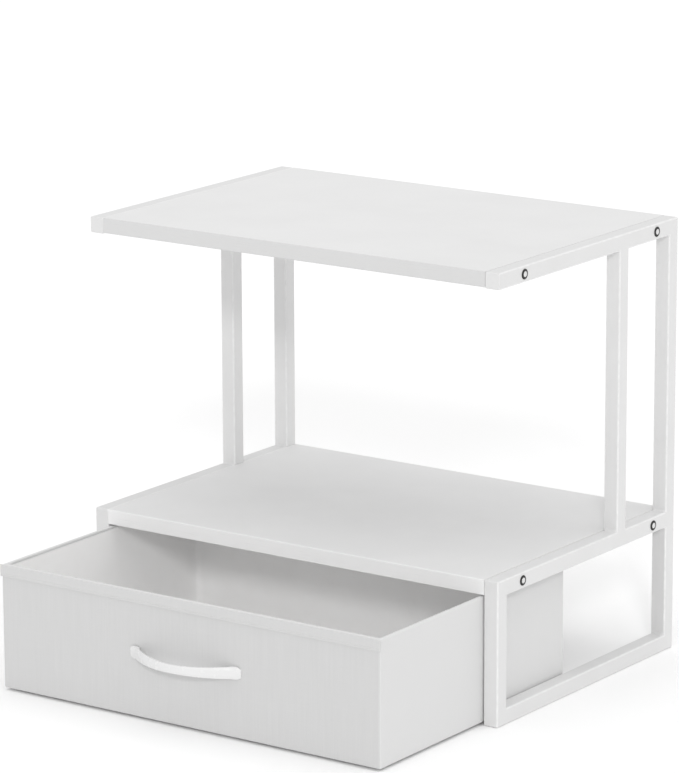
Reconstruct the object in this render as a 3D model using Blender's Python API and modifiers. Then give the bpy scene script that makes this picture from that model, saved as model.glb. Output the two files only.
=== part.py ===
"""Two-tier desktop printer stand with a fabric drawer, built as separate pieces.

Units are metres and +Z is up.  The stand faces -Y: its drawer pulls out towards -Y.
The drawer stands part way open, which is the rest position of its slide.
"""

import math

import bmesh
import bpy
from mathutils import Matrix

# ---------------------------------------------------------------- driving dimensions

STAND_WIDTH = 0.450            # over the two side frames
STAND_DEPTH = 0.300
STAND_HEIGHT = 0.412
MIDDLE_SHELF_TOP = 0.1345

TUBE = 0.015                   # square steel tube of the side frames
TUBE_WALL = 0.0012
TUBE_OUTER_RADIUS = 0.0015
TUBE_INNER_RADIUS = 0.0005
UPPER_POST_FRONT = 0.199       # from the stand's front to the upper post's front face
END_CAP = 0.0012

BOARD = 0.0142                 # shelf board, a little thinner than the tube
EDGE_BAND = 0.0010
EDGE_BAND_ROUND = 0.0004

BOLT_FROM_FRONT = (0.040, 0.262)
BOLT_HEAD_RADIUS = 0.0049
BOLT_HEAD_HEIGHT = 0.0014
BOLT_CROWN_RADIUS = 0.0035     # flat middle of the head
BOLT_SLOPE_RADIUS = 0.0045
BOLT_RIM_HEIGHT = 0.0006       # upright edge of the head
BOLT_TIP_CHAMFER = 0.0009
BOLT_SHANK_RADIUS = 0.0029
BOLT_REACH_IN_BOARD = 0.011
BOLT_SOCKET_RADIUS = 0.0023    # across the corners of the hexagon
BOLT_SOCKET_DEPTH = 0.0010
SOCKET_CUTTER_LENGTH = 0.0020
DRILL_LENGTH = 0.540           # through both side frames at once
RAIL_HOLE_RADIUS = 0.0033
INSERT_OUTER_RADIUS = 0.0043
INSERT_BORE_RADIUS = 0.0032
INSERT_LENGTH = 0.0120
INSERT_HOLE_RADIUS = 0.0046
INSERT_HOLE_DEPTH = 0.0140

DRAWER_WIDTH = 0.417
DRAWER_DEPTH = 0.293
DRAWER_BOTTOM = 0.0023
DRAWER_TOP = 0.1190
DRAWER_OPEN = 0.1585           # how far the front stands out of the frame at rest
COVER = 0.0006                 # outer fabric
LINING = 0.0005                # inner fabric
SIDE_BOARD = 0.0015            # cardboard stiffener in the sides and the back
FRONT_BOARD = 0.0030
BASE_BOARD = 0.0025
HEM_HEIGHT = 0.0110
HEM_THICKNESS = 0.0010
HEM_ROUND = 0.0004
HEM_OVERHANG = 0.0010          # past each side of the drawer

HANDLE_CENTRE_HEIGHT = 0.0626
HANDLE_OUTER_HALF = 0.0605     # half length of the bow's outer curve, and of the whole handle
HANDLE_REACH = 0.0253          # from the drawer's front to the outer face of the bow
HANDLE_TOE = 0.0020            # thickness at the tips of the feet
HANDLE_OUTER_SHAPE = (2.2, 1.4)    # powers of the bow's curve: the second above 1 flares the feet
HANDLE_INNER_HALF = 0.0500
HANDLE_INNER_REACH = 0.0216
HANDLE_INNER_SHAPE = (1.6, 0.65)
HANDLE_FOOT_WIDTH = 0.0130
HANDLE_MIDDLE_WIDTH = 0.0078
HANDLE_EDGE_ROUND = 0.0007
HANDLE_STEPS = 32

SCREW_SPACING = 0.104
SCREW_SHANK_RADIUS = 0.0016
SCREW_HOLE_RADIUS = 0.0020
SCREW_DEPTH_IN_HANDLE = 0.0032
SCREW_HOLE_IN_HANDLE = 0.0036
SCREW_HEAD_RADIUS = 0.0036
SCREW_HEAD_HEIGHT = 0.0022
WASHER_RADIUS = 0.0065
WASHER_THICKNESS = 0.0010

GLIDE_RADIUS = 0.010
GLIDE_INSET = 0.030            # from the drawer's edges to a glide's centre

GAP = 0.0003                   # air between touching pieces
WELD_DISTANCE = 0.00001
ROUND_STEPS = 20

# ---------------------------------------------------------------- worked-out dimensions

FRONT_OF_ALL = -(DRAWER_OPEN + GAP + HANDLE_REACH)
ORIGIN_TO_STAND_FRONT = -(FRONT_OF_ALL + STAND_DEPTH) / 2
INNER_FACE = STAND_WIDTH / 2 - TUBE
RAIL_CENTRE_X = STAND_WIDTH / 2 - TUBE / 2
TOP_RAIL_HEIGHT = STAND_HEIGHT - TUBE / 2
MIDDLE_RAIL_HEIGHT = MIDDLE_SHELF_TOP - TUBE / 2
MITRE_GAP = GAP / math.sqrt(2)

WHITE_STEEL = (0.80, 0.80, 0.80, 1.0)
WHITE_LAMINATE = (0.86, 0.86, 0.86, 1.0)
WHITE_BAND = (0.80, 0.80, 0.80, 1.0)
DARK_NICKEL = (0.09, 0.09, 0.10, 1.0)
ZINC = (0.55, 0.55, 0.54, 1.0)
PALE_FABRIC = (0.72, 0.72, 0.72, 1.0)
GREY_CARD = (0.50, 0.46, 0.40, 1.0)
BROWN_BOARD = (0.42, 0.30, 0.20, 1.0)
WHITE_PLASTIC = (0.85, 0.85, 0.85, 1.0)
GREY_FELT = (0.45, 0.45, 0.45, 1.0)


# ---------------------------------------------------------------- helpers

def clear_scene():
    for old in list(bpy.data.objects):
        bpy.data.objects.remove(old, do_unlink=True)


def new_collection(name):
    collection = bpy.data.collections.new(name)
    bpy.context.scene.collection.children.link(collection)
    return collection


def finish_material(name, colour, roughness, metallic):
    material = bpy.data.materials.new(name + "_finish")
    material.use_nodes = True
    shader = material.node_tree.nodes["Principled BSDF"]
    shader.inputs["Base Color"].default_value = colour
    shader.inputs["Roughness"].default_value = roughness
    shader.inputs["Metallic"].default_value = metallic
    return material


def add_piece(name, mesh, place, parent, look):
    """Put a mesh in the parts collection as one named piece with its own material."""
    piece = bpy.data.objects.new(name, mesh)
    parts.objects.link(piece)
    piece.parent = parent
    piece.location = place
    mesh.materials.clear()
    mesh.materials.append(finish_material(name, *look))
    return piece


def box_mesh(name, size):
    shape = bmesh.new()
    bmesh.ops.create_cube(shape, size=1.0, matrix=Matrix.Diagonal((*size, 1.0)))
    mesh = bpy.data.meshes.new(name)
    shape.to_mesh(mesh)
    shape.free()
    return mesh


def add_box(name, low, high, parent, look, rounding=0.0):
    size = [b - a for a, b in zip(low, high)]
    centre = [(a + b) / 2 for a, b in zip(low, high)]
    piece = add_piece(name, box_mesh(name, size), centre, parent, look)
    if rounding:
        add_bevel(piece, rounding)
    return piece


def add_bevel(piece, width, segments=2):
    bevel = piece.modifiers.new("rounded_edges", "BEVEL")
    bevel.width = width
    bevel.segments = segments
    bevel.limit_method = "ANGLE"
    bevel.angle_limit = math.radians(50)


def add_open_box(name, low, high, wall, parent, look):
    """A thin-walled box with no top: five faces given their thickness inwards."""
    size = [b - a for a, b in zip(low, high)]
    centre = [(a + b) / 2 for a, b in zip(low, high)]
    shape = bmesh.new()
    bmesh.ops.create_cube(shape, size=1.0, matrix=Matrix.Diagonal((*size, 1.0)))
    top = [face for face in shape.faces if face.normal.z > 0.5]
    bmesh.ops.delete(shape, geom=top, context="FACES_ONLY")
    mesh = bpy.data.meshes.new(name)
    shape.to_mesh(mesh)
    shape.free()
    piece = add_piece(name, mesh, centre, parent, look)
    thickness = piece.modifiers.new("cloth_thickness", "SOLIDIFY")
    thickness.thickness = wall
    thickness.offset = -1.0
    thickness.use_even_offset = True
    return piece


def add_turned(name, profile, place, rotation, parent, look, closed=False):
    """Turn a profile, given as (radius, height) from top to bottom, about local Z."""
    mesh = bpy.data.meshes.new(name)
    points = [(radius, 0.0, height) for radius, height in profile]
    edges = [(i, i + 1) for i in range(len(points) - 1)]
    if closed:
        edges.append((len(points) - 1, 0))
    mesh.from_pydata(points, edges, [])
    piece = add_piece(name, mesh, place, parent, look)
    piece.rotation_euler = rotation
    screw = piece.modifiers.new("turned", "SCREW")
    screw.axis = "Z"
    screw.steps = ROUND_STEPS
    screw.render_steps = ROUND_STEPS
    screw.use_merge_vertices = True
    screw.merge_threshold = WELD_DISTANCE
    screw.use_smooth_shade = True
    return piece


def add_cutter(name, mesh, place, rotation, parent):
    cutter = bpy.data.objects.new(name, mesh)
    cutters.objects.link(cutter)
    cutter.parent = parent
    cutter.location = place
    cutter.rotation_euler = rotation
    cutter.hide_render = True
    cutter.display_type = "WIRE"
    return cutter


def rod_mesh(name, radius, length, sides=ROUND_STEPS):
    shape = bmesh.new()
    bmesh.ops.create_cone(shape, cap_ends=True, segments=sides, radius1=radius,
                          radius2=radius, depth=length)
    mesh = bpy.data.meshes.new(name)
    shape.to_mesh(mesh)
    shape.free()
    return mesh


def cut(piece, cutter):
    boolean = piece.modifiers.new("cut_" + cutter.name, "BOOLEAN")
    boolean.operation = "DIFFERENCE"
    boolean.solver = "EXACT"
    boolean.object = cutter


def outline_mesh(name, loops, thickness):
    """A flat outline, with any further loops as holes, given its thickness along Z."""
    curve = bpy.data.curves.new(name, "CURVE")
    curve.dimensions = "2D"
    curve.fill_mode = "BOTH"
    curve.extrude = thickness / 2
    for loop in loops:
        spline = curve.splines.new("POLY")
        spline.points.add(len(loop) - 1)
        for point, (x, y) in zip(spline.points, loop):
            point.co = (x, y, 0.0, 1.0)
        spline.use_cyclic_u = True
    drawn = bpy.data.objects.new(name + "_outline", curve)
    bpy.context.scene.collection.objects.link(drawn)
    graph = bpy.context.evaluated_depsgraph_get()
    mesh = bpy.data.meshes.new_from_object(drawn.evaluated_get(graph))
    bpy.data.objects.remove(drawn, do_unlink=True)
    shape = bmesh.new()
    shape.from_mesh(mesh)
    bmesh.ops.remove_doubles(shape, verts=shape.verts, dist=WELD_DISTANCE)
    bmesh.ops.recalc_face_normals(shape, faces=shape.faces)
    shape.to_mesh(mesh)
    shape.free()
    mesh.name = name
    return mesh


def rounded_square(size, radius, steps=3):
    loop = []
    centre = size / 2 - radius
    for corner in range(4):
        sign_x = (1, -1, -1, 1)[corner]
        sign_y = (1, 1, -1, -1)[corner]
        for step in range(steps + 1):
            angle = math.radians(90 * (corner + step / steps))
            x = sign_x * centre + radius * math.cos(angle)
            y = sign_y * centre + radius * math.sin(angle)
            loop.append((x, y))
    return loop


# ---------------------------------------------------------------- side frames

def tube_mesh(name, length, long_side_low, long_side_high):
    """Square tube along local Z.  Each end is square (0) or mitred, and then its long
    side is at local +Y (1) or local -Y (-1)."""
    outer = rounded_square(TUBE, TUBE_OUTER_RADIUS)
    inner = rounded_square(TUBE - 2 * TUBE_WALL, TUBE_INNER_RADIUS)
    mesh = outline_mesh(name, [outer, inner], length)
    for vertex in mesh.vertices:
        low_end = vertex.co.z < 0
        long_side = long_side_low if low_end else long_side_high
        if long_side:
            shortening = TUBE / 2 - long_side * vertex.co.y
            vertex.co.z += shortening if low_end else -shortening
    mesh.update()
    return mesh


def add_post(name, side, front, low, high, long_side_low=0, long_side_high=0):
    place = (side * RAIL_CENTRE_X, front + TUBE / 2, (low + high) / 2)
    mesh = tube_mesh(name, high - low, long_side_low, long_side_high)
    return add_piece(name, mesh, place, stand, (WHITE_STEEL, 0.45, 0.0))


def add_rail(name, side, centre_height, front, rear, long_side_front=0, long_side_rear=0):
    """A rail along Y: local Z points to the rear and local +Y points down."""
    place = (side * RAIL_CENTRE_X, (front + rear) / 2, centre_height)
    mesh = tube_mesh(name, rear - front, long_side_front, long_side_rear)
    rail = add_piece(name, mesh, place, stand, (WHITE_STEEL, 0.45, 0.0))
    rail.rotation_euler = (-math.pi / 2, 0.0, 0.0)
    return rail


def add_side_frame(label, side):
    rear_face = STAND_DEPTH - TUBE
    top_rail_bottom = STAND_HEIGHT - TUBE
    add_post(label + "_front_post", side, 0.0, MITRE_GAP, MIDDLE_SHELF_TOP - MITRE_GAP,
             long_side_low=-1, long_side_high=-1)
    add_post(label + "_rear_post", side, rear_face, MITRE_GAP, STAND_HEIGHT - MITRE_GAP,
             long_side_low=1, long_side_high=1)
    add_post(label + "_upper_post", side, UPPER_POST_FRONT, MIDDLE_SHELF_TOP + GAP,
             top_rail_bottom - GAP)
    add_rail(label + "_bottom_rail", side, TUBE / 2, MITRE_GAP, STAND_DEPTH - MITRE_GAP,
             long_side_front=1, long_side_rear=1)
    middle = add_rail(label + "_middle_rail", side, MIDDLE_RAIL_HEIGHT, MITRE_GAP,
                      rear_face - GAP, long_side_front=-1)
    top = add_rail(label + "_top_rail", side, TOP_RAIL_HEIGHT, END_CAP + GAP,
                   STAND_DEPTH - MITRE_GAP, long_side_rear=-1)
    cap_name = label + "_top_rail_end_cap"
    cap_mesh = outline_mesh(cap_name, [rounded_square(TUBE, TUBE_OUTER_RADIUS)], END_CAP)
    cap_place = (side * RAIL_CENTRE_X, END_CAP / 2, TOP_RAIL_HEIGHT)
    cap = add_piece(cap_name, cap_mesh, cap_place, stand, (WHITE_STEEL, 0.45, 0.0))
    cap.rotation_euler = (-math.pi / 2, 0.0, 0.0)
    return {"top": top, "middle": middle}


# ---------------------------------------------------------------- shelves and their bolts

def add_shelf(level, top):
    half = INNER_FACE - GAP
    bottom = top - BOARD
    board_front = EDGE_BAND + GAP
    board_rear = STAND_DEPTH - EDGE_BAND - GAP
    board = add_box(level + "_shelf_board", (-half, board_front, bottom),
                    (half, board_rear, top), stand, (WHITE_LAMINATE, 0.35, 0.0))
    for end, front in (("front", 0.0), ("rear", STAND_DEPTH - EDGE_BAND)):
        add_box(level + "_shelf_" + end + "_edge_band", (-half, front, bottom),
                (half, front + EDGE_BAND, top), stand, (WHITE_BAND, 0.4, 0.0),
                EDGE_BAND_ROUND)
    return board


def facing(side):
    """Rotation that turns local +Z to the outside of the given side."""
    return (0.0, side * math.pi / 2, 0.0)


def add_bolt(name, side, from_front, height):
    seat = GAP
    tip = -(TUBE + GAP + BOLT_REACH_IN_BOARD)
    crown = seat + BOLT_HEAD_HEIGHT
    shoulder = seat + BOLT_RIM_HEIGHT
    profile = [(0.0, crown), (BOLT_CROWN_RADIUS, crown),
               (BOLT_SLOPE_RADIUS, (crown + shoulder) / 2),
               (BOLT_HEAD_RADIUS, shoulder), (BOLT_HEAD_RADIUS, seat),
               (BOLT_SHANK_RADIUS, seat), (BOLT_SHANK_RADIUS, tip + BOLT_TIP_CHAMFER),
               (BOLT_SHANK_RADIUS - BOLT_TIP_CHAMFER, tip), (0.0, tip)]
    place = (side * STAND_WIDTH / 2, from_front, height)
    bolt = add_turned(name, profile, place, facing(side), stand, (DARK_NICKEL, 0.3, 1.0))
    socket_centre = crown - BOLT_SOCKET_DEPTH + SOCKET_CUTTER_LENGTH / 2
    socket_place = (place[0] + side * socket_centre, from_front, height)
    socket_mesh = rod_mesh(name + "_socket", BOLT_SOCKET_RADIUS, SOCKET_CUTTER_LENGTH, sides=6)
    cut(bolt, add_cutter(name + "_socket", socket_mesh, socket_place, facing(side), stand))


def add_insert(name, side, from_front, height, board):
    """Threaded insert in the board's end, in a blind hole."""
    board_end = side * (INNER_FACE - GAP)
    mouth = -GAP
    profile = [(INSERT_OUTER_RADIUS, mouth), (INSERT_OUTER_RADIUS, mouth - INSERT_LENGTH),
               (INSERT_BORE_RADIUS, mouth - INSERT_LENGTH), (INSERT_BORE_RADIUS, mouth)]
    add_turned(name, profile, (board_end, from_front, height), facing(side), stand,
               (ZINC, 0.35, 1.0), closed=True)
    hole = rod_mesh(name + "_hole", INSERT_HOLE_RADIUS, 2 * INSERT_HOLE_DEPTH)
    place = (board_end, from_front, height)
    cut(board, add_cutter(name + "_hole", hole, place, facing(side), stand))


def add_shelves(side_frames):
    for level, top in (("top", STAND_HEIGHT), ("middle", MIDDLE_SHELF_TOP)):
        board = add_shelf(level, top)
        height = top - TUBE / 2
        for end, from_front in zip(("front", "rear"), BOLT_FROM_FRONT):
            drill = rod_mesh(f"{level}_{end}_rail_hole", RAIL_HOLE_RADIUS, DRILL_LENGTH)
            place = (0.0, from_front, height)
            drill = add_cutter(f"{level}_{end}_rail_hole", drill, place, facing(1), stand)
            for label, side in SIDES:
                cut(side_frames[label][level], drill)
                add_bolt(f"{label}_{level}_{end}_bolt", side, from_front, height)
                add_insert(f"{label}_{level}_{end}_insert", side, from_front, height, board)


# ---------------------------------------------------------------- drawer

def add_drawer_box():
    """Fabric cover and lining with a stiffener board in each wall and in the base.

    The drawer's own frame has its origin on the slide axis, at the middle of the
    drawer's front face at floor height."""
    half = DRAWER_WIDTH / 2
    fabric = (PALE_FABRIC, 0.85, 0.0)
    card = (GREY_CARD, 0.8, 0.0)
    cover = add_open_box("drawer_cover", (-half, 0.0, DRAWER_BOTTOM),
                         (half, DRAWER_DEPTH, DRAWER_TOP), COVER, drawer, fabric)
    side_in = half - COVER - GAP
    front_in = COVER + GAP
    rear_in = DRAWER_DEPTH - COVER - GAP
    floor = DRAWER_BOTTOM + COVER + GAP
    add_box("drawer_base_board", (-side_in, front_in, floor),
            (side_in, rear_in, floor + BASE_BOARD), drawer, card)
    wall_low = floor + BASE_BOARD + GAP
    wall_high = DRAWER_TOP - COVER - GAP
    front_board = add_box("drawer_front_board", (-side_in, front_in, wall_low),
                          (side_in, front_in + FRONT_BOARD, wall_high), drawer,
                          (BROWN_BOARD, 0.8, 0.0))
    add_box("drawer_rear_board", (-side_in, rear_in - SIDE_BOARD, wall_low),
            (side_in, rear_in, wall_high), drawer, card)
    side_front = front_in + FRONT_BOARD + GAP
    side_rear = rear_in - SIDE_BOARD - GAP
    for label, side in SIDES:
        ends = sorted((side * side_in, side * (side_in - SIDE_BOARD)))
        add_box(f"drawer_{label}_board", (ends[0], side_front, wall_low),
                (ends[1], side_rear, wall_high), drawer, card)
    lining_half = side_in - SIDE_BOARD - GAP
    lining = add_open_box("drawer_lining", (-lining_half, side_front, wall_low),
                          (lining_half, side_rear, DRAWER_TOP), LINING, drawer, fabric)
    add_box("drawer_front_hem",
            (-half - HEM_OVERHANG, -GAP - HEM_THICKNESS, DRAWER_TOP - HEM_HEIGHT),
            (half + HEM_OVERHANG, -GAP, DRAWER_TOP), drawer, fabric, HEM_ROUND)
    return [cover, front_board, lining], side_front + LINING


def bow(half_length, toe, reach, shape, crowded_ends=False):
    """Points along an arch that is toe high at its ends and reach high in its middle."""
    points = []
    for step in range(HANDLE_STEPS + 1):
        share = 2 * step / HANDLE_STEPS - 1
        if crowded_ends:
            share = math.sin(math.pi / 2 * share)
        height = max(1 - abs(share) ** shape[0], 0.0)
        points.append((half_length * share, toe + (reach - toe) * height ** shape[1]))
    return points


def add_handle():
    """Strap handle: an arch seen from above, given its width along Z, with flared feet."""
    outer = bow(HANDLE_OUTER_HALF, HANDLE_TOE, HANDLE_REACH, HANDLE_OUTER_SHAPE)
    inner = bow(HANDLE_INNER_HALF, 0.0, HANDLE_INNER_REACH, HANDLE_INNER_SHAPE, True)
    loop = [(-HANDLE_OUTER_HALF, 0.0)] + outer + [(HANDLE_OUTER_HALF, 0.0)] + inner[::-1]
    outline = [(x, -reach) for x, reach in loop]
    mesh = outline_mesh("drawer_handle", [outline], HANDLE_FOOT_WIDTH)
    flare = HANDLE_FOOT_WIDTH - HANDLE_MIDDLE_WIDTH
    for vertex in mesh.vertices:
        width = HANDLE_MIDDLE_WIDTH + flare * (vertex.co.x / HANDLE_OUTER_HALF) ** 2
        vertex.co.z *= width / HANDLE_FOOT_WIDTH
    place = (0.0, -GAP, HANDLE_CENTRE_HEIGHT)
    handle = add_piece("drawer_handle", mesh, place, drawer, (WHITE_PLASTIC, 0.2, 0.0))
    add_bevel(handle, HANDLE_EDGE_ROUND)
    return handle


def add_handle_screws(handle, drilled, inner_face):
    """Screws from inside the drawer, through its front and into the handle's feet."""
    to_front = (math.pi / 2, 0.0, 0.0)
    head_seat = inner_face + 2 * GAP + WASHER_THICKNESS
    for label, side in SIDES:
        place = (side * SCREW_SPACING / 2, 0.0, HANDLE_CENTRE_HEIGHT)
        name = f"drawer_handle_{label}_screw"
        tip = GAP + SCREW_DEPTH_IN_HANDLE
        profile = [(0.0, tip), (SCREW_SHANK_RADIUS, tip), (SCREW_SHANK_RADIUS, -head_seat),
                   (SCREW_HEAD_RADIUS, -head_seat),
                   (SCREW_HEAD_RADIUS, -head_seat - SCREW_HEAD_HEIGHT),
                   (0.0, -head_seat - SCREW_HEAD_HEIGHT)]
        add_turned(name, profile, place, to_front, drawer, (ZINC, 0.35, 1.0))
        washer_high = -inner_face - GAP
        washer_low = washer_high - WASHER_THICKNESS
        ring = [(WASHER_RADIUS, washer_high), (WASHER_RADIUS, washer_low),
                (SCREW_HOLE_RADIUS, washer_low), (SCREW_HOLE_RADIUS, washer_high)]
        add_turned(f"drawer_handle_{label}_washer", ring, place, to_front, drawer,
                   (ZINC, 0.35, 1.0), closed=True)
        reach = GAP + SCREW_HOLE_IN_HANDLE
        length = reach + head_seat + SCREW_HEAD_HEIGHT
        hole_place = (place[0], length / 2 - reach, place[2])
        hole = rod_mesh(name + "_hole", SCREW_HOLE_RADIUS, length, sides=12)
        hole = add_cutter(name + "_hole", hole, hole_place, to_front, drawer)
        for piece in [handle] + drilled:
            cut(piece, hole)


def add_glides():
    height = DRAWER_BOTTOM - 2 * GAP
    for label, side in SIDES:
        x = side * (DRAWER_WIDTH / 2 - GLIDE_INSET)
        for end, y in (("front", GLIDE_INSET), ("rear", DRAWER_DEPTH - GLIDE_INSET)):
            profile = [(0.0, height / 2), (GLIDE_RADIUS, height / 2),
                       (GLIDE_RADIUS, -height / 2), (0.0, -height / 2)]
            add_turned(f"drawer_{end}_{label}_glide", profile, (x, y, GAP + height / 2),
                       (0.0, 0.0, 0.0), drawer, (GREY_FELT, 0.9, 0.0))


# ---------------------------------------------------------------- assembly

SIDES = (("left", -1), ("right", 1))

clear_scene()
parts = new_collection("printer_stand")
cutters = new_collection("printer_stand_cutters")

stand = bpy.data.objects.new("stand_front_at_floor", None)
parts.objects.link(stand)
stand.location = (0.0, ORIGIN_TO_STAND_FRONT, 0.0)

drawer = bpy.data.objects.new("drawer_slide_axis", None)
parts.objects.link(drawer)
drawer.parent = stand
drawer.location = (0.0, -DRAWER_OPEN, 0.0)

frames = {label: add_side_frame(label, side) for label, side in SIDES}
add_shelves(frames)
pieces_behind_handle, drawer_inner_face = add_drawer_box()
add_handle_screws(add_handle(), pieces_behind_handle, drawer_inner_face)
add_glides()
bpy.context.view_layer.update()
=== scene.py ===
"""Looks of a two-tier desktop stand with a fabric drawer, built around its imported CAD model.

Metres, +Z up, the front faces -Y. The side frames and shelves ride on body "frame", and
everything of the drawer rides on body "drawer". Places and overall sizes come from the CAD
nodes' boxes, and rounds, seams and threads are set here.
"""

import math

import bpy
import bmesh
import numpy as np
from mathutils import Matrix, Vector, noise


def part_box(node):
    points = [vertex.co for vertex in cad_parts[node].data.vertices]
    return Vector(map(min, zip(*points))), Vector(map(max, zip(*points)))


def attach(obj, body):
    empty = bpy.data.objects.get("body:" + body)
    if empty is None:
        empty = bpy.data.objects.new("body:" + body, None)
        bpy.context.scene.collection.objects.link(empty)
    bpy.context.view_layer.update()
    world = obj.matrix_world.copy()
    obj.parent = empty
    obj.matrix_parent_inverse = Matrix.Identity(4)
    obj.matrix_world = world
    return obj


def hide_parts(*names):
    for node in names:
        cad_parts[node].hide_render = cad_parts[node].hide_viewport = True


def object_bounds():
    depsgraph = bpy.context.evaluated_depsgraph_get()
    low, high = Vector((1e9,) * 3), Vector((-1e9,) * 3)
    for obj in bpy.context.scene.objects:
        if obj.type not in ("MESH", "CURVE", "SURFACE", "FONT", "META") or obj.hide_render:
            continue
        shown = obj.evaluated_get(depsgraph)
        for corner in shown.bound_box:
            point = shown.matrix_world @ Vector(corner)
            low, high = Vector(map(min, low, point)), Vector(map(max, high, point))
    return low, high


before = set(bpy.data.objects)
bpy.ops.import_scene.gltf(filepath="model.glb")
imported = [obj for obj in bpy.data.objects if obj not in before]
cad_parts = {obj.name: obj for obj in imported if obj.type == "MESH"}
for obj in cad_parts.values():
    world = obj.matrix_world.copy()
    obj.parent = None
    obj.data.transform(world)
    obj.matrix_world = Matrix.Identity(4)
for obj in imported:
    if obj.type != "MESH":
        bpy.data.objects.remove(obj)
cad_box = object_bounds()

MM = 0.001
SIDES = {"left": -1, "right": 1}

# Camera: it aims at a point near the stand's middle, given from the stand's rear
AIM_X, AIM_Z = -0.0366, 0.2502
AIM_FROM_REAR = 0.1700
CAMERA_AZIMUTH = 35.2612
CAMERA_ELEVATION = 13.5844
CAMERA_DISTANCE = 4.0726
CAMERA_ROLL = -0.0043
CAMERA_LENS = 204.128
CAMERA_REACH = 500

# Light: (direction to the light, strength, softness in degrees)
WORLD_STRENGTH = 0.73
SUNS = {
    "key_light": ((0.55, -0.75, 0.43), 0.72, 7),
    "top_light": ((0.15, 0.05, 0.99), 0.78, 65),
}
FLOOR_SIZE = 120.0
FLOOR_DROP = 0.1 * MM
FLOOR_COLOUR = (0.99, 0.99, 0.99, 1)


# ---------------------------------------- stage

def add_camera():
    azimuth = math.radians(CAMERA_AZIMUTH)
    elevation = math.radians(CAMERA_ELEVATION)
    back = Vector((math.sin(azimuth) * math.cos(elevation),
                   -math.cos(azimuth) * math.cos(elevation),
                   math.sin(elevation)))
    right = (-back).cross(Vector((0, 0, 1))).normalized()
    up = right.cross(-back)
    camera = bpy.data.objects.new("camera", bpy.data.cameras.new("camera"))
    camera.data.lens = CAMERA_LENS
    camera.data.clip_end = CAMERA_REACH
    turn = Matrix((right, up, back)).transposed() @ Matrix.Rotation(CAMERA_ROLL, 3, "Z")
    aim = Vector((AIM_X, REAR - AIM_FROM_REAR, AIM_Z))
    camera.matrix_world = Matrix.Translation(aim + back * CAMERA_DISTANCE) @ turn.to_4x4()
    bpy.context.scene.collection.objects.link(camera)
    bpy.context.scene.camera = camera


def add_lights():
    world = bpy.data.worlds.new("studio")
    world.use_nodes = True
    sky = world.node_tree.nodes["Background"].inputs
    sky["Color"].default_value = (1, 1, 1, 1)
    sky["Strength"].default_value = WORLD_STRENGTH
    bpy.context.scene.world = world
    for name, (direction, strength, softness) in SUNS.items():
        lamp = bpy.data.objects.new(name, bpy.data.lights.new(name, "SUN"))
        lamp.data.energy = strength
        lamp.data.angle = math.radians(softness)
        lamp.rotation_euler = Vector(direction).to_track_quat("Z", "Y").to_euler()
        bpy.context.scene.collection.objects.link(lamp)
    bpy.context.scene.view_settings.view_transform = "Standard"


def add_floor():
    bpy.ops.mesh.primitive_plane_add(size=FLOOR_SIZE, location=(0, 0, cad_box[0].z - FLOOR_DROP))
    floor = bpy.context.object
    floor.name = "floor"
    look = Look("studio_floor")
    floor.data.materials.append(look.finish(colour=FLOOR_COLOUR, roughness=0.9, specular=0.1))


# ---------------------------------------- materials

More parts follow.
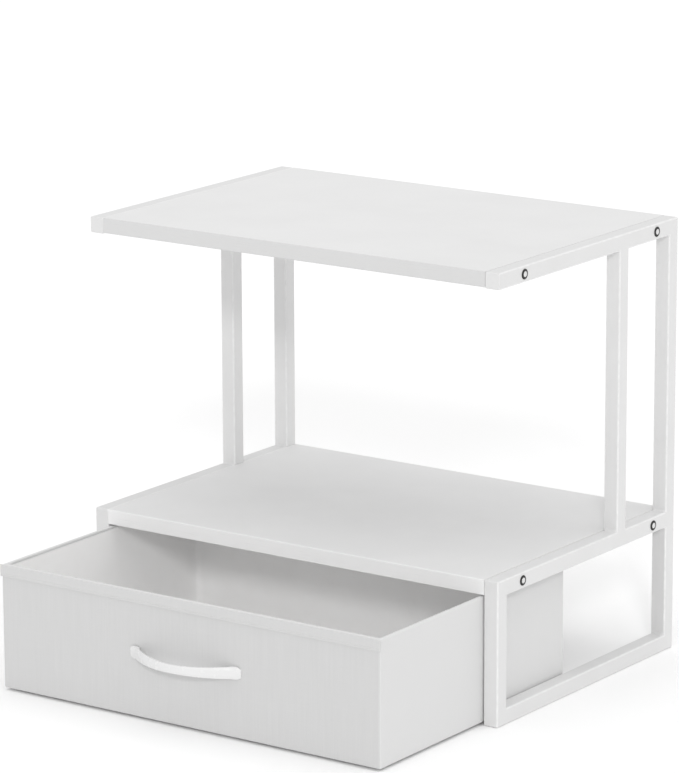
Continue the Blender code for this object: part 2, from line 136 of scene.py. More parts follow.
class Look:
    """A procedural material: one Principled shader, and short ways to feed it."""

    SOCKETS = {"colour": "Base Color", "roughness": "Roughness", "normal": "Normal",
               "metallic": "Metallic", "specular": "Specular IOR Level",
               "sheen": "Sheen Weight", "sheen_roughness": "Sheen Roughness"}

    def __init__(self, name, space="Object"):
        self.material = bpy.data.materials.new(name)
        self.material.use_nodes = True
        self.tree = self.material.node_tree
        self.tree.nodes.clear()
        self.shader = self.add("ShaderNodeBsdfPrincipled")
        output = self.add("ShaderNodeOutputMaterial")
        self.tree.links.new(self.shader.outputs["BSDF"], output.inputs["Surface"])
        if space == "cloth":
            self.space = self.add("ShaderNodeUVMap", uv_map="cloth").outputs["UV"]
        else:
            self.space = self.add("ShaderNodeTexCoord").outputs[space]

    def add(self, kind, inputs=None, **settings):
        node = self.tree.nodes.new(kind)
        for key, value in settings.items():
            setattr(node, key, value)
        for key, value in (inputs or {}).items():
            self.feed(node.inputs[key], value)
        return node

    def feed(self, socket, value):
        if isinstance(value, bpy.types.NodeSocket):
            self.tree.links.new(value, socket)
        else:
            socket.default_value = value

    def finish(self, **values):
        """Feeds the shader's sockets, and gives back the material."""
        for key, value in values.items():
            self.feed(self.shader.inputs[self.SOCKETS[key]], value)
        return self.material

    def stretched(self, factors):
        """The look's coordinates with each axis scaled by its own factor."""
        return self.add("ShaderNodeVectorMath", {0: self.space, 1: factors},
                        operation="MULTIPLY").outputs[0]

    def noise(self, scale, detail=3.0, roughness=0.55, stretch=(1, 1, 1)):
        return self.add("ShaderNodeTexNoise", {
            "Vector": self.stretched(stretch), "Scale": scale,
            "Detail": detail, "Roughness": roughness}).outputs["Fac"]

    def cells(self, scale, feature="F1"):
        return self.add("ShaderNodeTexVoronoi", {"Vector": self.space, "Scale": scale},
                        feature=feature).outputs["Distance"]

    def math(self, operation, first, second=0.0):
        return self.add("ShaderNodeMath", {0: first, 1: second}, operation=operation).outputs[0]

    def spread(self, value, new_low, new_high, low=0.3, high=0.7):
        """The value moved from its range low to high into a new range."""
        return self.add("ShaderNodeMapRange", {
            "Value": value, "From Min": low, "From Max": high,
            "To Min": new_low, "To Max": new_high}).outputs["Result"]

    def blend(self, factor, first, second):
        return self.add("ShaderNodeMix", {0: factor, 6: first, 7: second},
                        data_type="RGBA").outputs[2]

    def mottled(self, value, first, second):
        return self.blend(self.spread(value, 0, 1), first, second)

    def bump(self, height, depth, under=None):
        """A bump whose height from 0 to 1 stands for depth metres."""
        inputs = {"Height": height, "Distance": depth, "Strength": 1.0}
        if under is not None:
            inputs["Normal"] = under
        return self.add("ShaderNodeBump", inputs).outputs["Normal"]

    def threads(self, pitch):
        """How many threads of that pitch lie across and along the cloth up to a point."""
        scaled = self.stretched((1 / pitch, 1 / pitch, 1))
        return self.add("ShaderNodeSeparateXYZ", {"Vector": scaled}).outputs[:2]

    def ridges(self, value):
        """A row of round ridges, one a unit: 1 on the crests and 0 between them."""
        return self.math("ABSOLUTE", self.math("SINE", self.math("MULTIPLY", value, math.pi)))


def grey(value, warmth=0.0):
    """A colour of that brightness, a little warmer or cooler."""
    return (value * (1 + warmth), value, value * (1 - warmth), 1)


def powder_coat():
    look = Look("white_powder_coat")
    base = look.mottled(look.noise(22, detail=5), grey(0.718, 0.002), grey(0.740, 0.001))
    patches = look.spread(look.noise(160), 0.3, 0.95, low=0.35)
    edge = look.add("ShaderNodeAttribute", attribute_name="edge").outputs["Fac"]
    # Rounded edges lighter than the flats: a painted highlight along the tubes' arrises, broken into
    # patches
    arris_highlight_paint = look.math("MULTIPLY", edge, patches)
    peel = look.bump(look.noise(850, detail=1.5, roughness=0.4), 0.022 * MM)
    return look.finish(colour=look.blend(arris_highlight_paint, base, grey(0.84, 0.002)),
                       roughness=look.spread(look.noise(60, detail=6), 0.36, 0.46),
                       normal=look.bump(look.noise(4200, detail=2), 0.004 * MM, peel))


def laminate():
    look = Look("white_melamine")
    cloudy = look.noise(14, detail=6)
    handled = look.noise(9, detail=7, roughness=0.65)
    pearl = look.bump(look.cells(1500, feature="SMOOTH_F1"), 0.014 * MM)
    return look.finish(colour=look.mottled(cloudy, grey(0.76, 0.001), grey(0.785, 0.001)),
                       roughness=look.spread(handled, 0.46, 0.58), specular=0.3,
                       normal=look.bump(look.noise(2600, detail=2), 0.006 * MM, pearl))


def banding(name, dark, light):
    look = Look(name)
    drawn = look.noise(1500, detail=3, stretch=(0.02, 1, 1))
    return look.finish(colour=look.blend(look.noise(30, detail=4), grey(dark, 0.002), grey(light)),
                       roughness=look.spread(drawn, 0.26, 0.36),
                       normal=look.bump(drawn, 0.010 * MM))


def black_nickel():
    look = Look("black_nickel", "Generated")
    turned = look.noise(60, detail=4, stretch=(0.05, 1, 1))
    return look.finish(colour=look.blend(turned, grey(0.022), grey(0.040, 0.01)),
                       metallic=0.3, specular=0.35,
                       roughness=look.spread(look.noise(18, detail=5), 0.42, 0.55),
                       normal=look.bump(turned, 0.01 * MM))


def socket_painted_highlight():
    # Pale grey on a black bolt's socket: a painted highlight, the light caught in the socket
    look = Look("socket_painted_highlight")
    drawn = look.noise(2600, detail=3, stretch=(0.1, 1, 1))
    return look.finish(colour=look.blend(drawn, grey(0.70), grey(0.84)), metallic=0.2,
                       roughness=look.spread(drawn, 0.45, 0.6),
                       normal=look.bump(drawn, 0.01 * MM))


def zinc_plate():
    look = Look("zinc_plate")
    spangle = look.spread(look.cells(900), 0, 1, low=0.1, high=0.6)
    return look.finish(colour=look.blend(spangle, grey(0.62, 0.01), grey(0.74, 0.02)), metallic=1.0,
                       roughness=look.spread(look.noise(500, detail=5), 0.25, 0.42),
                       normal=look.bump(look.noise(2200, detail=3), 0.008 * MM))


def weave_height(look, pitch):
    """Plain weave: warp and weft threads that pass over each other in turn."""
    across, along = look.threads(pitch)
    warp, weft = look.ridges(across), look.ridges(along)
    square = look.math("ADD", look.math("FLOOR", across), look.math("FLOOR", along))
    over = look.math("FLOORED_MODULO", square, 2.0)
    warp_up = look.math("MULTIPLY", warp, look.math("POWER", weft, 0.45))
    weft_up = look.math("MULTIPLY", weft, look.math("POWER", warp, 0.45))
    lifted = look.math("MULTIPLY", over, warp_up)
    sunk = look.math("MULTIPLY", look.math("SUBTRACT", 1.0, over), weft_up)
    return look.math("ADD", lifted, sunk)


def woven_cloth(name, light, dark, pitch):
    """Plain-woven cloth between two brightnesses, with uneven threads."""
    look = Look(name, "cloth")
    weave = weave_height(look, pitch)
    warp_slub = look.noise(1.0, detail=2.5, stretch=(620, 16, 1))
    weft_slub = look.noise(1.0, detail=2.0, stretch=(20, 700, 1))
    uneven = look.math("ADD", look.math("MULTIPLY", warp_slub, 0.75),
                       look.math("MULTIPLY", weft_slub, 0.25))
    uneven = look.spread(uneven, 0, 1, low=0.32, high=0.68)
    tone = look.blend(uneven, grey(dark, 0.001), grey(light, 0.001))
    soft = look.spread(look.noise(30, detail=4), 0.0, 0.35)
    tone = look.blend(soft, tone, grey(light, 0.001))
    between = look.spread(weave, 0.35, 0.0, low=0.0, high=0.5)
    return look.finish(colour=look.blend(between, tone, grey(dark * 0.72, 0.004)),
                       roughness=look.spread(uneven, 0.82, 0.92, low=0, high=1),
                       sheen=0.18, sheen_roughness=0.45, specular=0.25,
                       normal=look.bump(weave, 0.05 * MM, look.bump(warp_slub, 0.06 * MM)))


def spunbond():
    """The lining: soft nonwoven cloth with rows of small bonded points."""
    look = Look("nonwoven_lining", "cloth")
    across, along = look.threads(1.7 * MM)
    rows = look.ridges(look.math("ADD", across, along))
    columns = look.ridges(look.math("SUBTRACT", across, along))
    points = look.spread(look.math("MULTIPLY", rows, columns), 1.0, 0.0, low=0.55, high=0.85)
    fibres = look.noise(900, detail=5, roughness=0.7)
    tone = look.mottled(look.noise(55, detail=6), grey(0.930, 0.006), grey(0.950, 0.004))
    faint = look.spread(fibres, 0.0, 0.25, low=0.35, high=0.65)
    return look.finish(colour=look.blend(faint, tone, grey(0.88)),
                       roughness=look.spread(fibres, 0.75, 0.9),
                       sheen=0.12, sheen_roughness=0.5, specular=0.3,
                       normal=look.bump(fibres, 0.03 * MM, look.bump(points, 0.05 * MM)))


def sewing_thread():
    look = Look("sewing_thread")
    twist = look.add("ShaderNodeTexWave", {"Vector": look.space, "Scale": 900, "Distortion": 1.0},
                     bands_direction="DIAGONAL").outputs["Fac"]
    return look.finish(colour=look.blend(twist, grey(0.60, 0.004), grey(0.80, 0.002)),
                       roughness=look.spread(twist, 0.65, 0.5, low=0, high=1),
                       sheen=0.2, normal=look.bump(twist, 0.05 * MM))


def stiffener_card():
    look = Look("grey_card")
    fibres = look.noise(1400, detail=6, roughness=0.7)
    flecks = look.spread(look.noise(380, detail=2), 0, 1, low=0.62)
    base = look.blend(fibres, grey(0.30, 0.03), grey(0.42, 0.03))
    return look.finish(colour=look.blend(flecks, base, grey(0.16, 0.02)),
                       roughness=look.spread(fibres, 0.8, 0.95),
                       normal=look.bump(fibres, 0.05 * MM))


def fibreboard():
    look = Look("brown_fibreboard")
    fibres = look.noise(1100, detail=7, roughness=0.75)
    return look.finish(colour=look.blend(fibres, (0.17, 0.10, 0.055, 1), (0.34, 0.22, 0.13, 1)),
                       roughness=look.spread(fibres, 0.7, 0.9),
                       normal=look.bump(fibres, 0.06 * MM))


def moulded_plastic():
    look = Look("white_moulded_plastic")
    flow = look.noise(45, detail=3, stretch=(0.4, 1, 1))
    return look.finish(colour=look.mottled(flow, grey(0.765), grey(0.785, 0.001)),
                       roughness=look.spread(look.noise(120, detail=5), 0.20, 0.30),
                       normal=look.bump(look.noise(1800, detail=2), 0.002 * MM))


def felt():
    look = Look("grey_felt")
    matted = look.noise(900, detail=8, roughness=0.8)
    strands = look.noise(1600, detail=3, stretch=(1, 0.25, 1))
    base = look.blend(matted, grey(0.26, 0.01), grey(0.46, 0.01))
    return look.finish(colour=look.blend(look.spread(strands, 0, 0.7, low=0.55), base, grey(0.60)),
                       roughness=look.spread(matted, 0.85, 1.0), sheen=0.4, sheen_roughness=0.6,
                       normal=look.bump(matted, 0.12 * MM))


# ---------------------------------------- mesh helpers

def add_piece(name, vertices, faces, materials, body, slot, *nodes, face_looks=None, sharp=38):
    """A mesh piece with smooth shading that rides on a body and stands for CAD nodes."""
    mesh = bpy.data.meshes.new(name)
    mesh.from_pydata([tuple(map(float, v)) for v in vertices], [], faces)
    for material in materials:
        mesh.materials.append(material)
    if face_looks is not None:
        mesh.polygons.foreach_set("material_index", face_looks)
    mesh.polygons.foreach_set("use_smooth", [True] * len(mesh.polygons))
    mesh.set_sharp_from_angle(angle=math.radians(sharp))
    mesh.validate()
    piece = bpy.data.objects.new(name, mesh)
    bpy.context.scene.collection.objects.link(piece)
    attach(piece, body)
    if nodes:
        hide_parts(*nodes)
    return piece


def add_solid(*details, flat=False, **more):
    """A closed piece with its faces turned out; flat keeps the large faces' own directions."""
    piece = add_piece(*details, **more)
    work = bmesh.new()
    work.from_mesh(piece.data)
    bmesh.ops.recalc_face_normals(work, faces=work.faces)
    work.to_mesh(piece.data)
    work.free()
    if flat:
        piece.modifiers.new("normals", "WEIGHTED_NORMAL").keep_sharp = True
    return piece


def loft(rings, closed=False):
    """A skin over rings of equally many points, with its ends capped unless it is closed."""
    size = len(rings[0])
    vertices = [point for ring in rings for point in ring]
    faces = []
    for row in range(len(rings) if closed else len(rings) - 1):
        here = row * size
        there = (row + 1) % len(rings) * size
        for spot in range(size):
            after = (spot + 1) % size
            faces.append((here + spot, here + after, there + after, there + spot))
    if not closed:
        faces.append(tuple(range(size))[::-1])
        faces.append(tuple(range(len(vertices) - size, len(vertices))))
    return vertices, faces


def joined(parts):
    """Several (vertices, faces) as one."""
    vertices, faces = [], []
    for part, part_faces in parts:
        start = len(vertices)
        vertices += part
        faces += [tuple(start + spot for spot in face) for face in part_faces]
    return vertices, faces


def quarter(steps):
    """Angles from 0 to a right angle."""
    return [math.pi / 2 * step / steps for step in range(steps + 1)]


def circle(count):
    """Angles once round."""
    return [2 * math.pi * step / count for step in range(count)]


def rounded_outline(low, high, radii, steps):
    """Points round a rectangle, anticlockwise from its high corner; radii is one a corner."""
    centres = ((high[0], high[1]), (low[0], high[1]), (low[0], low[1]), (high[0], low[1]))
    inward = ((-1, -1), (1, -1), (1, 1), (-1, 1))
    points = []
    for corner, radius in enumerate(radii):
        centre_x = centres[corner][0] + inward[corner][0] * radius
        centre_y = centres[corner][1] + inward[corner][1] * radius
        for turn in quarter(steps):
            angle = math.pi / 2 * corner + turn
            points.append((centre_x + radius * math.cos(angle),
                           centre_y + radius * math.sin(angle)))
    return points


def lathe_rings(profile, sides, shape=None):
    """Rings round the local Z axis; shape(radius, angle, row) may change a point's radius."""
    rings = []
    for row, (radius, height) in enumerate(profile):
        ring = []
        for angle in circle(sides):
            reach = shape(radius, angle, row) if shape else radius
            ring.append((reach * math.cos(angle), reach * math.sin(angle), height))
        rings.append(ring)
    return rings


def placed(vertices, seat, direction):
    """Vertices made round the local Z axis, turned to a direction and moved to a seat."""
    turn = Vector(direction).to_track_quat("Z", "Y").to_matrix()
    return [turn @ Vector(v) + seat for v in vertices]


# ---------------------------------------- side frames

TUBE_ROUND = 1.5 * MM
TUBE_ROUND_STEPS = 6
CORNER_ROUND = 1.3 * MM
CORNER_STEPS = 4
CAP_ROUND = 0.9 * MM
CAP_STEPS = 4
SEAM_WIDTH = 0.12 * MM
WELD_LEG = 2.0 * MM
WELD_RIPPLE = 1.5 * MM
WELD_HOLLOW = 0.86
WELD_BITE = 0.2 * MM
WELD_ROWS = 34
WELD_STEPS = 6

tube_low, tube_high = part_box("right_upper_post")
TUBE = tube_high.x - tube_low.x
TUBE_X = tube_low.x + TUBE / 2
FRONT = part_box("right_front_post")[0].y
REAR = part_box("right_rear_post")[1].y
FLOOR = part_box("right_bottom_rail")[0].z
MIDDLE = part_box("right_middle_rail")[1].z
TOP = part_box("right_top_rail")[1].z
UPPER_POST_FRONT = tube_low.y
UPPER_POST_REAR = UPPER_POST_FRONT + TUBE


def tube_section(inset=0.0):
    half = TUBE / 2 - inset
    return rounded_outline((-half, -half), (half, half), [TUBE_ROUND - inset] * 4, TUBE_ROUND_STEPS)


def tube_end(kind, limit, sense):
    """Rings of (along, out, across) that end a tube; sense is 1 at the far end, -1 at the near."""
    if kind == "butt":
        return [[(limit, out, across) for out, across in tube_section()]]
    rings = []
    for step in range(CORNER_STEPS + 1):
        turn = math.pi / 4 * step / CORNER_STEPS
        ring = []
        for out, across in tube_section():
            depth = TUBE / 2 - out
            inner = CORNER_ROUND - depth
            if inner > 0:
                back = CORNER_ROUND - inner * math.sin(turn)
                out = TUBE / 2 - CORNER_ROUND + inner * math.cos(turn)
            else:
                back = depth + CORNER_ROUND * (1 - step / CORNER_STEPS)
            ring.append((limit - sense * back, out, across))
        rings.append(ring)
    return rings if sense > 0 else rings[::-1]


def edge_nearness(out, across):
    """1 in the middle of a rounded edge of the tube, 0 where the flat begins."""
    flat = TUBE / 2 - TUBE_ROUND
    reach = min(abs(out), abs(across)) - flat
    return min(max(reach / (TUBE_ROUND * (1 - math.sqrt(0.5))), 0.0), 1.0)


def add_tube(label, side, part, upright, middle, outer, near, far):
    """One square tube. middle is its centre line's Y or Z, outer the sign of its outer face."""
    rings = tube_end(*near, -1) + tube_end(*far, 1)
    vertices, faces = loft(rings)
    for spot, (along, out, across) in enumerate(vertices):
        level = middle + outer * out
        y, z = (level, along) if upright else (along, level)
        vertices[spot] = (side * TUBE_X + across, y, z)
    name = f"{label}_{part}"
    piece = add_solid(f"{name}_coated", vertices, faces, [COAT], "frame", "frame_steel", name,
                      flat=True)
    # How near each point lies to a rounded edge; the coat paints its arris highlight from it
    edge = piece.data.attributes.new("edge", "FLOAT", "POINT")
    ring_edge = [edge_nearness(out, across) for out, across in tube_section()]
    edge.data.foreach_set("value", ring_edge * len(rings))


def add_end_cap(label):
    """The plate that closes the top rail's front, with a rounded rim and a fine weld seam."""
    name = f"{label}_top_rail_end_cap"
    low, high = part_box(name)
    centre = (low + high) / 2
    levels = [(SEAM_WIDTH, high.y), (0.0, high.y - SEAM_WIDTH)]
    for turn in quarter(CAP_STEPS):
        levels.append((CAP_ROUND * (1 - math.cos(turn)), low.y + CAP_ROUND * (1 - math.sin(turn))))
    rings = [[(centre.x + across, y, centre.z + up) for across, up in tube_section(inset)]
             for inset, y in levels]
    add_solid(f"{name}_coated", *loft(rings), [COAT], "frame", "frame_steel", name, flat=True)


def weld_bead(centre_x, y, z, toward_y, toward_z):
    """A painted fillet weld in an inside corner: rings of a hollow curve, with ripples along it."""
    half = TUBE / 2 - TUBE_ROUND * 0.6
    rings = []
    for row in range(WELD_ROWS + 1):
        share = 2 * row / WELD_ROWS - 1
        across = centre_x + half * share
        ripple = 1 + 0.10 * math.sin(2 * math.pi * across / WELD_RIPPLE) + 0.12 * noise.noise(
            Vector((across * 900, y * 700, z * 700)))
        leg = WELD_LEG * ripple * max(1 - abs(share) ** 6, 0.0) ** 0.5 + 0.05 * MM
        hollow = [(leg * (1 - WELD_HOLLOW * math.sin(turn)), leg * (1 - WELD_HOLLOW * math.cos(turn)))
                  for turn in quarter(WELD_STEPS)]
        section = [(-WELD_BITE, -WELD_BITE), (hollow[0][0], -WELD_BITE), *hollow[1:-1],
                   (-WELD_BITE, hollow[-1][1])]
        rings.append([(across, y + toward_y * out_y, z + toward_z * out_z)
                      for out_y, out_z in section])
    return loft(rings)


def add_welds(label, side):
    corners = (
        (FRONT + TUBE, FLOOR + TUBE, 1, 1), (REAR - TUBE, FLOOR + TUBE, -1, 1),
        (FRONT + TUBE, MIDDLE - TUBE, 1, -1), (REAR - TUBE, MIDDLE - TUBE, -1, -1),
        (REAR - TUBE, MIDDLE, -1, 1), (REAR - TUBE, TOP - TUBE, -1, -1),
        (UPPER_POST_FRONT, MIDDLE, -1, 1), (UPPER_POST_REAR, MIDDLE, 1, 1),
        (UPPER_POST_FRONT, TOP - TUBE, -1, -1), (UPPER_POST_REAR, TOP - TUBE, 1, -1),
    )
    beads = joined(weld_bead(side * TUBE_X, *corner) for corner in corners)
    add_solid(f"{label}_weld_beads", *beads, [COAT], "frame", "frame_steel", sharp=80)


def add_side_frame(label, side):
    half = TUBE / 2
    cap_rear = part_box("right_top_rail_end_cap")[1].y
    add_tube(label, side, "front_post", True, FRONT + half, -1, ("mitre", FLOOR), ("mitre", MIDDLE))
    add_tube(label, side, "rear_post", True, REAR - half, 1, ("mitre", FLOOR), ("mitre", TOP))
    add_tube(label, side, "upper_post", True, UPPER_POST_FRONT + half, -1,
             ("butt", MIDDLE - TUBE_ROUND), ("butt", TOP - TUBE + TUBE_ROUND))
    add_tube(label, side, "bottom_rail", False, FLOOR + half, -1, ("mitre", FRONT), ("mitre", REAR))
    add_tube(label, side, "middle_rail", False, MIDDLE - half, 1,
             ("mitre", FRONT), ("butt", REAR - TUBE + TUBE_ROUND))
    add_tube(label, side, "top_rail", False, TOP - half, 1, ("butt", cap_rear), ("mitre", REAR))
    add_end_cap(label)
    add_welds(label, side)


# ---------------------------------------- shelves

BOARD_ARRIS = 0.1 * MM
BAND_ROUND = 0.75 * MM
BAND_ARRIS = 0.06 * MM
BAR_STEPS = 5


def add_bar(name, low, high, radii, end_round, material, slot, node):
    """A bar along X with its own radius on each long edge and slightly rounded ends."""
    rings = []
    for x, inset in ((low.x, end_round), (low.x + end_round, 0.0),
                     (high.x - end_round, 0.0), (high.x, end_round)):
        tight = [max(radius - inset, 0.2 * end_round) for radius in radii]
        outline = rounded_outline((low.y + inset, low.z + inset),
                                  (high.y - inset, high.z - inset), tight, BAR_STEPS)
        rings.append([(x, y, z) for y, z in outline])
    add_solid(name, *loft(rings), [material], "frame", slot, node, flat=True)


def shelf_box(node):
    """The node's box, pushed up to the side frames."""
    low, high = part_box(node)
    high.x = tube_low.x
    low.x = -high.x
    return low, high


def add_shelf(level):
    board = f"{level}_shelf_board"
    low, high = shelf_box(board)
    add_bar(f"{board}_laminated", low, high, [BOARD_ARRIS] * 4, BOARD_ARRIS,
            LAMINATE, "shelf_laminate", board)
    for end in ("front", "rear"):
        band = f"{level}_shelf_{end}_edge_band"
        band_low, band_high = shelf_box(band)
        if end == "front":
            band_high.y = low.y
            radii = [BAND_ARRIS, BAND_ROUND, BAND_ROUND, BAND_ARRIS]
        else:
            band_low.y = high.y
            radii = [BAND_ROUND, BAND_ARRIS, BAND_ARRIS, BAND_ROUND]
        # The top band takes painted shade and the middle band painted light
        add_bar(f"{band}_trimmed", band_low, band_high, radii, BAND_ARRIS,
                BANDING[level], "edge_band", band)


# ---------------------------------------- bolts

BOLT_SIDES = 48
BOLT_SHANK = 2.9 * MM
BOLT_HEAD = [(4.50, 0.00), (4.70, 0.14), (4.70, 0.36), (4.54, 0.56), (4.10, 0.72),
             (3.40, 0.82), (2.80, 0.85), (2.55, 0.82)]
BOLT_SOCKET = [(2.06, 0.68), (2.06, 0.30), (1.88, 0.22), (1.00, 0.18), (0.30, 0.12)]


def in_metres(profile):
    return [(radius * MM, height * MM) for radius, height in profile]


def add_bolt(name, side):
    """A low-headed bolt with a hexagon socket, seated on the rail; its socket faces carry a painted
    highlight.
    """
    low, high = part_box(name)
    face_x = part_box("right_top_rail")[1].x
    length = (face_x - low.x) if side > 0 else (high.x + face_x)
    profile = [(BOLT_SHANK * 0.6, -length), (BOLT_SHANK, -length + BOLT_SHANK * 0.4),
               (BOLT_SHANK, -0.1 * MM)]
    profile += in_metres(BOLT_HEAD + BOLT_SOCKET)
    socket_start = len(profile) - len(BOLT_SOCKET)

    def hexagon(radius, angle, row):
        if row < socket_start or row >= len(profile) - 2:
            return radius
        sixth = math.pi / 3
        return radius / math.cos((angle + sixth / 2) % sixth - sixth / 2)

    vertices, faces = loft(lathe_rings(profile, BOLT_SIDES, hexagon))
    # The socket's faces take the painted highlight
    looks = [1 if face // BOLT_SIDES >= socket_start - 1 else 0 for face in range(len(faces))]
    tip_cap = -2
    looks[tip_cap] = 0
    seat = (low + high) / 2
    seat.x = side * face_x
    add_solid(f"{name}_finished", placed(vertices, seat, (side, 0, 0)), faces,
              [BLACK_NICKEL, SOCKET_HIGHLIGHT], "frame", "bolt_steel", name, face_looks=looks)


# ---------------------------------------- drawer

COVER_CORNER = 2.2 * MM
COVER_BOTTOM_ROUND = 1.6 * MM
COVER_ROWS = 34
COVER_CLOTH = 0.45 * MM
RIM_HEIGHT = 1.3 * MM
RIM_STEPS = 8
TURN_IN = 2.4 * MM
TURN_PROUD = 0.45 * MM
TURN_CORNER = 1.2 * MM
TURN_ROWS = 5
LINING_WALL = 0.5 * MM
LINING_ROUND = 4.0 * MM
LINING_CORNER = 5.0 * MM
LINING_DROP = 1.2 * MM
LINING_ROWS = 30
LINING_CLOTH = 0.35 * MM
BEND_STEPS = 6
SIDE_COUNTS = (120, 84)
ARC_STEPS = 4
SEAM_OFFSETS = [0.9 * MM, 1.6 * MM, 2.3 * MM, 3.0 * MM]
SEAM_SINK = 0.22 * MM

cover_low, cover_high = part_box("drawer_cover")
lining_low, lining_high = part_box("drawer_lining")
COVER_FACE = cover_low.y - 0.02 * MM


def side_steps(length, count):
    """Distances along a straight side, closer together near its ends for the corner seams."""
    inner = np.linspace(SEAM_OFFSETS[-1], length - SEAM_OFFSETS[-1], count + 1)
    return np.concatenate([[0.0], SEAM_OFFSETS[:-1], inner,
                           [length - offset for offset in SEAM_OFFSETS[:-1][::-1]]])


def inside(low, high, inset):
    """The sides of a box, low x, high x, low y and high y, moved in."""
    return low.x + inset, high.x - inset, low.y + inset, high.y - inset


def rounded_loop(low_x, high_x, low_y, high_y, radius):
    """Points round a rectangle with rounded corners, anticlockwise from its front left corner."""
    width = high_x - low_x - 2 * radius
    depth = high_y - low_y - 2 * radius
    corners = ((high_x - radius, low_y + radius), (high_x - radius, high_y - radius),
               (low_x + radius, high_y - radius), (low_x + radius, low_y + radius))
    starts = ((low_x + radius, low_y), (high_x, low_y + radius),
              (high_x - radius, high_y), (low_x, high_y - radius))
    points = []
    for side in range(4):
        heading = math.pi / 2 * side
        for distance in side_steps((width, depth)[side % 2], SIDE_COUNTS[side % 2]):
            points.append((starts[side][0] + distance * math.cos(heading),
                           starts[side][1] + distance * math.sin(heading)))
        for turn in quarter(ARC_STEPS)[:-1]:
            angle = heading + turn - math.pi / 2
            points.append((corners[side][0] + radius * math.cos(angle),
                           corners[side][1] + radius * math.sin(angle)))
    return np.array(points)


def panel_inside(loop):
    """Fills a rounded loop with a grid: the rows of vertex numbers, and the new inner points."""
    count_x, count_y = (count + 2 * len(SEAM_OFFSETS) + ARC_STEPS for count in SIDE_COUNTS)
    ids = np.roll(np.arange(len(loop)), ARC_STEPS // 2)
    front = ids[:count_x + 1]
    right = ids[count_x:count_x + count_y + 1]
    rear = ids[count_x + count_y:2 * count_x + count_y + 1][::-1]
    left = np.append(ids[2 * count_x + count_y:], ids[0])[::-1]
    rows = np.zeros((count_y + 1, count_x + 1), int)
    rows[0], rows[-1], rows[:, 0], rows[:, -1] = front, rear, left, right
    u = np.linspace(0, 1, count_x + 1)[None, 1:-1, None]
    v = np.linspace(0, 1, count_y + 1)[1:-1, None, None]
    front, rear, left, right = (loop[edge] for edge in (front, rear, left, right))
    inner = (1 - v) * front[None, 1:-1] + v * rear[None, 1:-1]
    inner = inner + (1 - u) * left[1:-1, None] + u * right[1:-1, None]
    inner = inner - (1 - u) * (1 - v) * front[0] - u * (1 - v) * front[-1]
    inner = inner - (1 - u) * v * rear[0] - u * v * rear[-1]
    shape = inner.shape
    rows[1:-1, 1:-1] = len(loop) + np.arange(shape[0] * shape[1]).reshape(shape[:2])
    return rows, inner.reshape(-1, 2)


def lifted(points, height):
    return np.column_stack([points, np.full(len(points), height)])


def cloth_shell(levels, flip):
    """A shell over levels of (loop, height), closed by a flat panel at the first one."""
    size = len(levels[0][0])
    rows, inner = panel_inside(levels[0][0])
    vertices = np.concatenate([lifted(*levels[0]), lifted(inner, levels[0][1])]
                              + [lifted(*level) for level in levels[1:]])
    starts = [0] + [size * level + len(inner) for level in range(1, len(levels))]
    faces = []
    for near, far in zip(starts[:-1], starts[1:]):
        for spot in range(size):
            after = (spot + 1) % size
            faces.append((near + spot, near + after, far + after, far + spot))
    for row, above in zip(rows[:-1].tolist(), rows[1:].tolist()):
        faces += zip(row[:-1], above[:-1], above[1:], row[1:])
    if flip:
        faces = [face[::-1] for face in faces]
    return vertices, faces, starts


def bottom_levels(low, high, wall, bend, corner):
    """Levels of a shell that lies wall inside a box: its flat bottom, and the bend up to its walls."""
    levels = []
    for turn in quarter(BEND_STEPS):
        inset = bend * (1 - math.sin(turn))
        loop = rounded_loop(*inside(low, high, wall + inset), corner - inset)
        levels.append((loop, low.z + wall + bend * (1 - math.cos(turn))))
    return levels


def wall_levels(loop, low, high, rows):
    """Levels of one loop, evenly spaced from just past one height to another."""
    return [(loop, low + (high - low) * row / rows) for row in range(1, rows + 1)]


def cloth_coordinates(mesh):
    """Gives each face the weave's coordinates, in metres along the cloth."""
    layer = mesh.uv_layers.new(name="cloth")
    for face in mesh.polygons:
        direction = face.normal
        for spot in face.loop_indices:
            point = mesh.vertices[mesh.loops[spot].vertex_index].co
            if abs(direction.z) > 0.75:
                layer.data[spot].uv = (point.x, point.y)
            elif abs(direction.x) > abs(direction.y):
                layer.data[spot].uv = (point.y, point.z)
            else:
                layer.data[spot].uv = (point.x, point.z)


def push_along_normals(piece, amounts):
    """Moves each vertex along its normal by its own amount."""
    mesh = piece.data
    points = np.zeros(len(mesh.vertices) * 3)
    normals = np.zeros(len(mesh.vertices) * 3)
    mesh.vertices.foreach_get("co", points)
    mesh.vertices.foreach_get("normal", normals)
    points = points.reshape(-1, 3) + normals.reshape(-1, 3) * np.asarray(amounts)[:, None]
    mesh.vertices.foreach_set("co", points.ravel())
    mesh.update()


def make_sheet(piece, amounts, thickness):
    """Gives the cloth its slack, weave and thickness."""
    push_along_normals(piece, amounts)
    cloth_coordinates(piece.data)
    thick = piece.modifiers.new("cloth", "SOLIDIFY")
    thick.thickness = thickness
    thick.offset = -1


def seam_depths():
    """How far each point of a loop sinks at the seams on both sides of the vertical corners."""
    sink = []
    for side, count in enumerate(SIDE_COUNTS * 2):
        straight = np.zeros(count + 2 * len(SEAM_OFFSETS) + ARC_STEPS)
        if side % 2 == 1:
            straight[[2, -ARC_STEPS - 2]] = SEAM_SINK
        sink.append(straight)
    return np.concatenate(sink)


